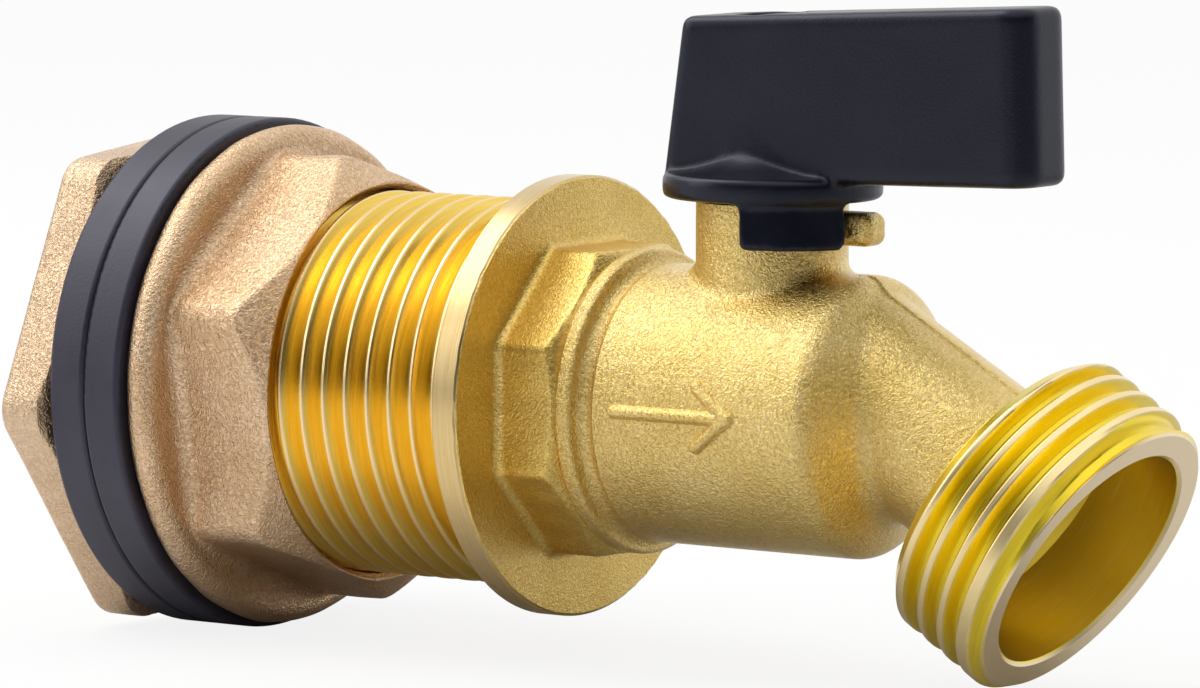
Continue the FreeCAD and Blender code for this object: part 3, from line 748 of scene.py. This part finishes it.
def hose_distance(x, angle):
    """Hose thread: the crest's radius less the groove. The groove fades in past the first crest; past the last
    crest its turns are stretched and only their deepest part is left, so that the thread runs out in a broad
    land. The rear chamfer and the front edge cut all of it."""
    past = np.maximum(x - hose_last_crest, 0.0)
    groove = thread_groove(
        x - (1 - hose_run_out) * past, angle, hose_first_crest, hose_pitch, hose_crest, hose_root)
    land = hose_land * np.clip((past + hose_land_lead) / hose_land_fade, 0.0, 1.0)
    groove = np.clip((groove - land) / (1 - land), 0.0, 1.0)
    groove = groove * np.clip((x - hose_first_crest) / hose_groove_fade, 0.0, 1.0)
    thread = hose_radius - hose_thread_depth * groove
    rear = hose_radius - hose_rear_chamfer + (x - hose_start)
    front = hose_radius - hose_lead_in + (spout_length - x)
    return smooth_min(thread, smooth_min(rear, front, hose_edge_soft), hose_edge_soft)


def make_casting(finish):
    """The solid's own barrel, neck and spout, with the hose end cut off at its rear face and made again as a
    threaded grid with its mouth."""
    points, corners = solid_mesh("valve_body")
    along = (points[corners].mean(axis=1) - ELBOW) @ SPOUT
    kept = corners[along < hose_start + cut_margin]
    first = hose_start + bridge_length
    steps = even_steps(hose_steps)
    thread = spiral(first, spout_length, hose_first_crest, hose_pitch, steps, hose_distance)
    front = hose_distance(np.full(TURN.shape, spout_length), TURN)
    floor = spout_length - mouth_depth
    mouth = rings(
        (spout_length, front), (spout_length, mouth_radius + mouth_edge_break),
        (spout_length - mouth_edge_break, mouth_radius), (spout_length - mouth_ring, mouth_radius),
        (floor, mouth_radius), (floor - mouth_floor_cone + bridge_length, spout_bore_radius + bridge_step))
    grids = [on_spout(thread), on_spout(mouth)]
    piece("casting", grids, finish, "tap", "valve_body", (points, kept))


def make_flow_arrow(finish):
    """Raised flow arrow cast on the barrel's side: round-backed strokes, high in the middle and falling away
    with the distance from each stroke's line, wrapped round the barrel; its border lies inside the barrel, where
    the upper and lower sheets meet."""
    across, along = np.meshgrid(np.linspace(-arrow_half_width, arrow_half_width, 97),
                                np.linspace(-arrow_half_length, arrow_half_length, 193))
    shaft = stroke(along, across, arrow_tail, arrow_tip)
    barbs = [stroke(along, across, (arrow_barb[0], side * arrow_barb[1]), arrow_tip) for side in (1, -1)]
    barbs = smooth_min(*barbs, arrow_join)
    barbs = -smooth_min(-barbs, np.full(along.shape, -arrow_least), arrow_least)
    away = np.maximum(smooth_min(shaft, barbs, arrow_join), 0.0)
    lift = barrel_radius - arrow_sunk + arrow_rise * np.exp(-(away / arrow_breadth) ** 3)
    angle = arrow_angle + across / barrel_radius
    grids = [trimmed(np.stack([along + stem_x + arrow_shift, -r * np.cos(angle), r * np.sin(angle)], axis=-1))
             for r in two_sheets(lift, barrel_radius - arrow_back)]
    piece("flow_arrow", grids, finish, "tap", sharp=60.0)


def seam_height(x):
    """Top line of the casting in the stem's plane: the barrel's top, cut by the end's cone and raised again by
    the spout's top line, with rounded corners."""
    cone = barrel_radius - (x - barrel_corner) * math.tan(barrel_end_slope)
    root = ELBOW + spout_root * SPOUT + spout_root_radius * SPOUT_UP
    end = ELBOW + hose_start * SPOUT + spout_end_radius * SPOUT_UP
    slope = (end[2] - root[2]) / (end[0] - root[0])
    spout = root[2] + (x - root[0]) * slope
    barrel = smooth_min(np.full(x.shape, barrel_radius), cone, seam_barrel_soft)
    return -smooth_min(-barrel, -spout, seam_spout_soft)


def make_seam(finish):
    """Ground-down mould seam along the top of the barrel's end and the spout: a low flat strip that follows
    the casting's top line; its border lies inside the casting, where the upper and lower sheets meet."""
    spout_end = ELBOW[0] + hose_start * SPOUT[0] + spout_end_radius * SPOUT_UP[0]
    x = np.linspace(stem_x + seam_start, spout_end - seam_end_gap, seam_rows)
    y = np.linspace(-seam_half_width, seam_half_width, seam_columns)
    z = seam_height(x)
    turn = np.arctan(np.gradient(z, x))[:, None]
    row = np.arange(seam_rows)
    ends = np.clip(np.minimum(row, row[::-1]) / seam_end_rows, 0.0, 1.0)
    lift = seam_rise * ends[:, None] / (1.0 + np.exp((np.abs(y) - seam_flat) / seam_edge)) - seam_sunk
    lift[:, [0, -1]] = seam_border
    lift[[0, -1]] = seam_border
    grids = [trimmed(np.stack([x[:, None] - height * np.sin(turn), np.broadcast_to(y, height.shape),
                               z[:, None] + height * np.cos(turn)], axis=-1))
             for height in two_sheets(lift, seam_back)]
    piece("mould_seam", grids, finish, "tap", sharp=60.0)


# Handle

def make_handle(finish):
    """The solid's own lever, hub and tabs as one soft moulding. The tabs' outsides are carried out to the hub's
    rim, the flare is lowered and the tip is drawn out a little. An even skin of small squares is laid over all
    of it and evened out between neighbours."""
    points, corners = solid_mesh("lever_handle")
    x, y, z = (points - [stem_x, 0.0, 0.0]).T
    reach = np.maximum(np.hypot(x, y), MM)
    share = np.clip(x / lever_tip, 0.0, 1.0)
    side = (lever_root_width + share * (lever_tip_width - lever_root_width)) / 2
    above_hub = (z > hub_top) & (z < hub_top + flare_height)
    flare = above_hub & (np.abs(y) > side - flare_margin) & (reach < hub_radius + hub_margin)
    z = np.where(flare, hub_top + flare_kept * (z - hub_top), z)
    tab = (z < hub_bottom - tab_margin) & (reach > tab_inside)
    grown = 1.0 + (hub_radius / tab_reach - 1.0) * (reach - tab_inside) / (tab_reach - tab_inside)
    spread = np.where(tab, np.minimum(grown, hub_radius / reach), 1.0)
    out = ease(share)
    drop = out * tip_drop * (lever_top - z) / (lever_top - hub_bottom)
    points = np.stack([stem_x + x * spread + out * tip_stretch, y * spread, z - drop], axis=-1)
    mesh = raw_mesh("handle", points, corners, np.zeros((0, 4), int))
    edit = bmesh.new()
    edit.from_mesh(mesh)
    bmesh.ops.remove_doubles(edit, verts=edit.verts, dist=WELD)
    bmesh.ops.recalc_face_normals(edit, faces=edit.faces)
    edit.to_mesh(mesh)
    edit.free()
    made = in_scene("handle", mesh, finish)
    skin = made.modifiers.new("skin", "REMESH")
    skin.mode = "VOXEL"
    skin.voxel_size = handle_skin * MM
    skin.use_smooth_shade = True
    soften = made.modifiers.new("soften", "SMOOTH")
    soften.factor = 0.5
    soften.iterations = handle_softening
    stand_in(made, "handle", "lever_handle")


# Pieces and the finishes of the solids that show as they are

def set_finish(finish, *names):
    """Gives solids of the frame their finish."""
    for name in names:
        for slot in nodes[name].material_slots:
            slot.material = finish


casting_brass = casting_finish()
make_connector(connector_finish())
make_nut(nut_finish())
make_tailpiece(tailpiece_finish())
make_casting(casting_brass)
make_flow_arrow(casting_brass)
make_seam(casting_brass)
set_finish(rubber_finish(), "inner_washer", "outer_washer")
make_handle(handle_finish())
set_finish(turned_finish("ball_chrome", (0.74, 0.75, 0.77), (0.86, 0.87, 0.89), 0.12, 1.0), "ball")
set_finish(turned_finish("seat_plastic", (0.74, 0.74, 0.71), (0.84, 0.84, 0.81), 0.45, 0.0),
           "inlet_seat", "outlet_seat", "thrust_washer")
set_finish(turned_finish("stem_brass", (0.62, 0.45, 0.16), (0.82, 0.64, 0.30), 0.28, 1.0), "stem")
set_finish(turned_finish("seal_rubber", (0.012, 0.012, 0.014), (0.024, 0.024, 0.027), 0.40, 0.0),
           "lower_stem_seal", "upper_stem_seal")
set_finish(turned_finish("screw_steel", (0.46, 0.47, 0.50), (0.66, 0.67, 0.69), 0.30, 1.0),
           "handle_screw", "screw_washer")


# Floor, light and camera

WHITE = (1.0, 1.0, 1.0, 1.0)
floor_grey, floor_half_width = 0.88, 6000.0
camera_white, least_white, lifted_white, most_white = 0.86, 0.05, 0.75, 0.9
dim_right, dim_under, dim_depth = 0.25, 0.42, 0.97
room_level, room_dim, room_overhead = 0.58, 0.54, 0.65
lamp_target = (0.03, 0.0, 0.0)
photo_width, focal_length, sensor_width = 1200.0, 7157.5, 36.0
camera_shift = (-0.00053, -0.00674)
camera_azimuth, camera_elevation, camera_distance = math.radians(35.171), math.radians(5.667), 0.60941
camera_target = (0.038594, 0.0, 0.005229)


def dim_side(x, y):
    """1 on the right and in front of the object, where the studio is unlit, and 0 behind and on the left."""
    return (x * 0.75 - y * 0.66).rise(-0.3, 0.7)


def make_floor():
    """Pale floor under the lowest point; it is lifted towards white for the camera and, far off and on the
    left, for the object's metal, which sees it dim underneath and on the right; it keeps a soft shadow close to
    the object."""
    finish = Finish(bpy.data.materials.new("studio_floor"))
    straight, reflected = finish.rays()
    x, y = finish.split(finish.place())[:2]
    away = (x * x + y * y).math("SQRT") + 1.0
    far = away.rise(80.0, 500.0) * (1 - dim_side(x / away, y / away))
    left = (x * -0.87 - y * 0.50).rise(10.0, 90.0)
    right = (x * 0.90 + y * 0.44).rise(-10.0, 70.0) * (1 - far)
    # Painted shadow and shade: under the object and on the right, the floor's glow is lowered for reflected
    # rays, so the metal sees a dark floor there.
    under = x.rise(-25.0, 5.0) * (1 - x.rise(75.0, 95.0)) * (1 - y.math("ABSOLUTE").rise(8.0, 40.0))
    lift = far.math("MAXIMUM", left)
    dim = (right * dim_right).math("MAXIMUM", under * dim_under)
    in_metal = (least_white + lift * lifted_white + dim).math("MINIMUM", most_white)
    shown = straight * camera_white + reflected * in_metal
    glow = 1 - reflected * dim.rise(0.0, 0.2) * (1 - lift) * dim_depth
    matt = finish.node("ShaderNodeBsdfDiffuse", None, {"Color": opaque((floor_grey,) * 3)})
    white = finish.node("ShaderNodeEmission", None, {"Color": glow, "Strength": 1.0})
    both = finish.node("ShaderNodeMixShader", None, {0: shown, 1: matt, 2: white})
    finish.node("ShaderNodeOutputMaterial", None, {"Surface": both})
    line = np.linspace(-floor_half_width, floor_half_width, 13)
    u, v = np.meshgrid(line, line)
    grid = np.stack([u, v, np.full(u.shape, cad_box[0].z / MM)], axis=-1)
    mesh = raw_mesh("floor", grid.reshape(-1, 3), np.zeros((0, 3), int), quads(grid, 0)[:, ::-1])
    in_scene("floor", mesh, finish.owner)


def make_world():
    """Studio room: white to the camera and, behind the object, in its metal; dim low down on the right and
    bright overhead."""
    world = bpy.data.worlds.new("studio")
    bpy.context.scene.world = world
    finish = Finish(world)
    x, y, z = finish.split(finish.node("ShaderNodeTexCoord", out="Generated"))
    dim = dim_side(x, y) * (1 - z.rise(0.30, 0.65))
    level = room_level - room_dim * dim + room_overhead * z.rise(0.55, 0.90)
    straight, reflected = finish.rays()
    shown = straight + reflected * y.rise(0.2, 0.8)
    strength = level + shown * (1 - level)
    backdrop = finish.node("ShaderNodeBackground", None, {"Color": WHITE, "Strength": strength})
    finish.node("ShaderNodeOutputWorld", None, {"Surface": backdrop})


def make_lamp(name, place, size, watts):
    """Square soft lamp that faces the object; lengths in metres."""
    data = bpy.data.lights.new(name, "AREA")
    data.size = size
    data.energy = watts
    lamp = bpy.data.objects.new(name, data)
    lamp.location = place
    lamp.rotation_euler = (Vector(lamp_target) - Vector(place)).to_track_quat("-Z", "Y").to_euler()
    bpy.context.scene.collection.objects.link(lamp)


def make_camera():
    """Camera at the photograph's place: a long lens, a third of the way round from the side and a little
    above. The focal length is in the photograph's pixels."""
    data = bpy.data.cameras.new("camera")
    data.sensor_width = sensor_width
    data.lens = focal_length * sensor_width / photo_width
    data.shift_x, data.shift_y = camera_shift
    data.clip_start, data.clip_end = 0.01, 50.0
    level = math.cos(camera_elevation)
    back = Vector((
        math.sin(camera_azimuth) * level, -math.cos(camera_azimuth) * level, math.sin(camera_elevation)))
    camera = bpy.data.objects.new("camera", data)
    camera.location = Vector(camera_target) + back * camera_distance
    camera.rotation_euler = (-back).to_track_quat("-Z", "Y").to_euler()
    bpy.context.scene.collection.objects.link(camera)
    bpy.context.scene.camera = camera


make_floor()
make_world()
make_lamp("top_softbox", (-0.36, -0.10, 0.50), 0.50, 1.8)
make_lamp("side_softbox", (-0.55, -0.45, 0.25), 0.35, 0.7)
make_camera()
bpy.context.scene.view_settings.view_transform = "Standard"
